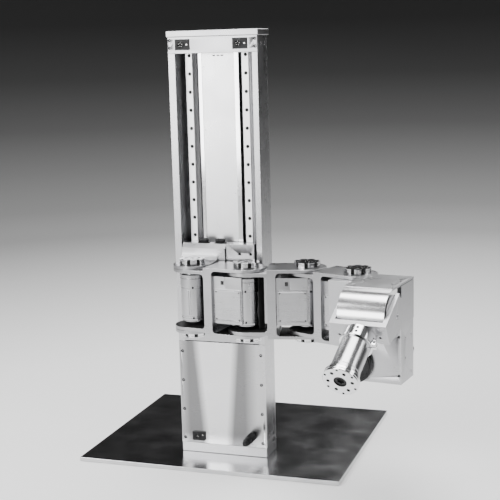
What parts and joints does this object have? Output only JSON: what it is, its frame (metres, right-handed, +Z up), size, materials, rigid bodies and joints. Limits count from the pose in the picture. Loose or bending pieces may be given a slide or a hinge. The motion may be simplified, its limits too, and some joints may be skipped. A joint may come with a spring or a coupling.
{
  "type": "column-mounted robot arm",
  "caption": "Lift column on a base plate with a folding horizontal arm of hinged links, a pitching wrist and a planetary tool drive that turns a bolt flange.",
  "frame": {"origin": "centre of the base plate's underside", "axes": "+Z up the column, -Y the side that the arm works on, +X along the arm as it rests"},
  "size_m": [0.7702, 0.8138, 0.9554],
  "materials": {
    "aluminium": "brushed, clear anodised",
    "satin": "fine satin, turned or milled",
    "polished": "turned and polished",
    "dark_plate": "brushed, dark anodised",
    "steel": "ground",
    "bronze": "machined",
    "motor_black": "satin black",
    "black_plastic": "moulded black"
  },
  "bodies": {
    "column": {"base_plate": "dark_plate", "foot_block": "aluminium", "left_wall": "aluminium", "right_wall": "aluminium", "back_plate": "aluminium", "front_cover": "satin", "lower_bearing_block": "aluminium", "cap_block": "aluminium", "cap_lid": "aluminium", "left_rail": "steel", "right_rail": "steel", "screw_panel": "polished", "lift_motor": "motor_black", "power_inlet": "black_plastic", "signal_plug": "black_plastic"},
    "screw": {"lead_screw": "steel"},
    "carriage": {"carriage_plate": "aluminium", "shoulder_bracket": "aluminium", "left_slider": "steel", "right_slider": "steel", "drive_nut": "bronze", "drive_1": "satin"},
    "arm_1": {"link_1": "aluminium", "hub_1_top": "polished", "hub_1_bottom": "polished", "drive_2": "satin", "drive_2_box": "satin", "drive_2_cover": "satin"},
    "arm_2": {"link_2": "aluminium", "hub_2_top": "polished", "hub_2_bottom": "polished", "drive_3": "satin", "drive_3_box": "satin", "drive_3_cover": "satin"},
    "arm_3": {"link_3": "aluminium", "hub_3_top": "polished", "hub_3_bottom": "polished", "drive_4": "satin", "drive_4_box": "satin", "drive_4_cover": "satin"},
    "wrist": {"wrist_bracket": "aluminium", "hub_4_top": "polished", "hub_4_bottom": "polished", "wrist_top_plate": "aluminium", "wrist_left_plate": "aluminium", "wrist_right_plate": "aluminium", "wrist_housing": "aluminium", "wrist_motor_cap": "motor_black", "wrist_cover": "polished", "pitch_drive": "satin"},
    "pitch_unit": {"pitch_yoke": "aluminium", "clamp_collar": "polished", "tool_tube": "satin", "tool_motor": "motor_black", "ring_gear": "steel"},
    "tool": {"tool_flange": "polished"},
    "sun": {"sun_gear": "steel"},
    "planet_body_1": {"planet_1": "steel"},
    "planet_body_2": {"planet_2": "steel"},
    "planet_body_3": {"planet_3": "steel"}
  },
  "joints": [
    {"name": "lift", "type": "slide", "parent": "column", "child": "carriage", "axis": [0, 0, 1], "range_m": [0, 0.4]},
    {"name": "lead_screw_turn", "type": "hinge", "parent": "column", "child": "screw", "pos_m": [0.0114, -0.1068, 0.0094], "axis": [0, 0, 1], "continuous": true},
    {"name": "shoulder", "type": "hinge", "parent": "carriage", "child": "arm_1", "pos_m": [-0.0306, -0.1998, 0.0094], "axis": [0, 0, 1], "range_deg": [-165.9, 3]},
    {"name": "elbow_1", "type": "hinge", "parent": "arm_1", "child": "arm_2", "pos_m": [0.0979, -0.2158, 0.0094], "axis": [0, 0, -1], "range_deg": [-15, 115]},
    {"name": "elbow_2", "type": "hinge", "parent": "arm_2", "child": "arm_3", "pos_m": [0.2247, -0.1893, 0.0094], "axis": [0, 0, 1], "range_deg": [-60, 128]},
    {"name": "wrist_yaw", "type": "hinge", "parent": "arm_3", "child": "wrist", "pos_m": [0.3451, -0.237, 0.0094], "axis": [0, 0, -1], "range_deg": [-120, 20]},
    {"name": "wrist_pitch", "type": "hinge", "parent": "wrist", "child": "pitch_unit", "pos_m": [0.40414, -0.39548, 0.4109], "axis": [0.9907, -0.1357, 0], "range_deg": [0, 60]},
    {"name": "tool_roll", "type": "hinge", "parent": "pitch_unit", "child": "tool", "pos_m": [0.40414, -0.39548, 0.4109], "axis": [-0.1163, -0.8492, -0.515], "continuous": true},
    {"name": "sun_turn", "type": "hinge", "parent": "pitch_unit", "child": "sun", "pos_m": [0.40414, -0.39548, 0.4109], "axis": [-0.1163, -0.8492, -0.515], "continuous": true},
    {"name": "planet_1_turn", "type": "hinge", "parent": "tool", "child": "planet_body_1", "pos_m": [0.41803, -0.39738, 0.4109], "axis": [-0.1163, -0.8492, -0.515], "continuous": true},
    {"name": "planet_2_turn", "type": "hinge", "parent": "tool", "child": "planet_body_2", "pos_m": [0.39804, -0.38833, 0.40049], "axis": [-0.1163, -0.8492, -0.515], "continuous": true},
    {"name": "planet_3_turn", "type": "hinge", "parent": "tool", "child": "planet_body_3", "pos_m": [0.39634, -0.40072, 0.42131], "axis": [-0.1163, -0.8492, -0.515], "continuous": true}
  ],
  "couplings": [
    {"joint": "lead_screw_turn", "follows": "lift", "rad_per_m": 628.32},
    {"joint": "sun_turn", "follows": "tool_roll", "ratio": 3.6667},
    {"joint": "planet_1_turn", "follows": "tool_roll", "ratio": -3.2},
    {"joint": "planet_2_turn", "follows": "tool_roll", "ratio": -3.2},
    {"joint": "planet_3_turn", "follows": "tool_roll", "ratio": -3.2}
  ]
}
